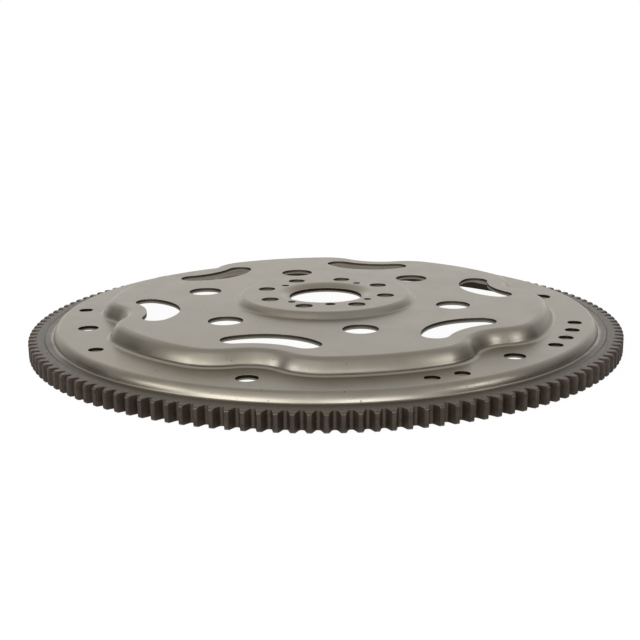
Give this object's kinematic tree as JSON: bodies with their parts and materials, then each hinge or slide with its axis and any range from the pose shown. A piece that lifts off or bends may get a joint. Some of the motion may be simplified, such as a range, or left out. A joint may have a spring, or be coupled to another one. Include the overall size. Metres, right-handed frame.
{
  "type": "flexplate",
  "caption": "Stamped steel drive disc with a raised crankshaft flange, a scalloped plateau with windows and a toothed starter ring welded round its rim.",
  "frame": {"origin": "on the axis of rotation, at the ring gear's lower face", "axes": "+Z along the axis of rotation, out of the crankshaft flange's face; -Y through the converter bolt hole next to the shifted index hole"},
  "size_m": [0.3606, 0.3606, 0.0281],
  "materials": {
    "stamped_steel": "satin, as pressed",
    "gear_steel": "heat-darkened oxide",
    "weld_steel": "as welded"
  },
  "bodies": {
    "root": {"flexplate_disc": "stamped_steel", "ring_gear": "gear_steel", "ring_weld": "weld_steel"}
  },
  "joints": []
}
